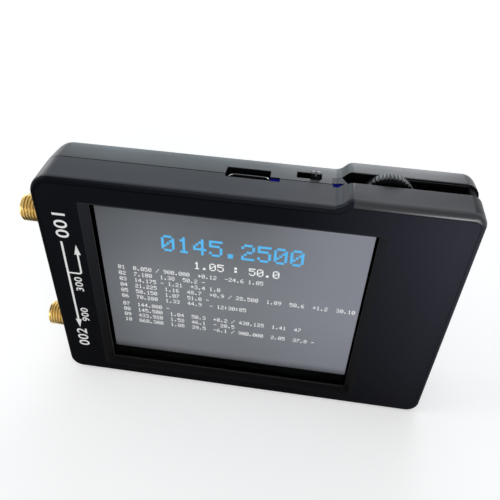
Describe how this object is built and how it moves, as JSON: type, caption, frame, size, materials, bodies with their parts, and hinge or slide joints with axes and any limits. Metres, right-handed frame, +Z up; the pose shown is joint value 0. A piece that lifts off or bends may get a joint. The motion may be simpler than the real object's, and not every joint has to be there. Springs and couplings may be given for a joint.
{
  "type": "antenna analyzer",
  "caption": "Pocket antenna analyzer: flat two-shell box standing on its long side, touch screen in front, coaxial jacks on the left, USB port, slide switch and jog wheel on top.",
  "frame": {"origin": "on the bottom side, midway between the case's left and right sides and between its front and rear faces", "axes": "+X to the right seen from the front, +Y from the screen to the rear face, +Z up towards the side with the USB port, switch and jog wheel"},
  "size_m": [0.094, 0.0154, 0.0613],
  "materials": {
    "case_plastic": "fine-grained moulded black plastic, satin",
    "screw_steel": "blackened steel",
    "foam": "closed-cell foam",
    "touch_glass": "clear film over glass with a black border",
    "lit_panel": "lit liquid crystal panel",
    "light_guide": "white diffuser",
    "tin_plate": "bright tin plate",
    "flex_amber": "amber film",
    "board": "black solder mask",
    "chip_black": "moulded epoxy",
    "jack_gold": "gold-plated brass",
    "white_insulator": "white fluoropolymer",
    "lever_plastic": "black moulded plastic",
    "carriage_grey": "grey moulded plastic",
    "wheel_grey": "knurled dark grey plastic",
    "lamp_blue": "lit blue lamp",
    "cell_foil": "laminated foil pouch",
    "tape_white": "foam tape",
    "plug_cream": "cream nylon",
    "lead_red": "silicone insulation",
    "lead_black": "silicone insulation"
  },
  "bodies": {
    "case": {"front_shell": "case_plastic", "rear_shell": "case_plastic", "case_screw_1": "screw_steel", "case_screw_2": "screw_steel", "case_screw_3": "screw_steel", "case_screw_4": "screw_steel", "window_gasket": "foam", "touch_panel": "touch_glass", "lcd_panel": "lit_panel", "backlight_plate": "light_guide", "display_frame": "tin_plate", "display_lead": "flex_amber", "main_board": "board", "processor_chip": "chip_black", "clock_chip": "chip_black", "mixer_chip_1": "chip_black", "mixer_chip_2": "chip_black", "mixer_chip_3": "chip_black", "reference_crystal": "tin_plate", "charger_chip": "chip_black", "regulator_chip": "chip_black", "shield_can_1": "tin_plate", "shield_can_2": "tin_plate", "jack_body_1": "jack_gold", "jack_body_2": "jack_gold", "jack_insulator_1": "white_insulator", "jack_insulator_2": "white_insulator", "jack_contact_1": "jack_gold", "jack_contact_2": "jack_gold", "usb_receptacle": "tin_plate", "usb_tongue": "chip_black", "switch_body": "tin_plate", "jog_base": "chip_black", "status_lamp": "lamp_blue", "charge_lamp": "lamp_blue", "battery_cell": "cell_foil", "battery_tape": "tape_white", "battery_socket": "plug_cream", "battery_plug": "plug_cream", "battery_lead_red": "lead_red", "battery_lead_black": "lead_black"},
    "power_lever": {"power_lever": "lever_plastic"},
    "jog_carriage": {"jog_carriage": "carriage_grey"},
    "jog_wheel": {"jog_wheel": "wheel_grey"}
  },
  "joints": [
    {"name": "power_slide", "type": "slide", "parent": "case", "child": "power_lever", "axis": [-1, 0, 0], "range_m": [0, 0.0024]},
    {"name": "jog_press", "type": "slide", "parent": "case", "child": "jog_carriage", "axis": [0, 0, -1], "range_m": [0, 0.0005], "stiffness_N_per_m": 1500},
    {"name": "jog_turn", "type": "hinge", "parent": "jog_carriage", "child": "jog_wheel", "pos_m": [0.0268, 0.0012, 0.05555], "axis": [0, 1, 0], "range_deg": [-12, 12], "stiffness_Nm_per_rad": 0.02}
  ]
}
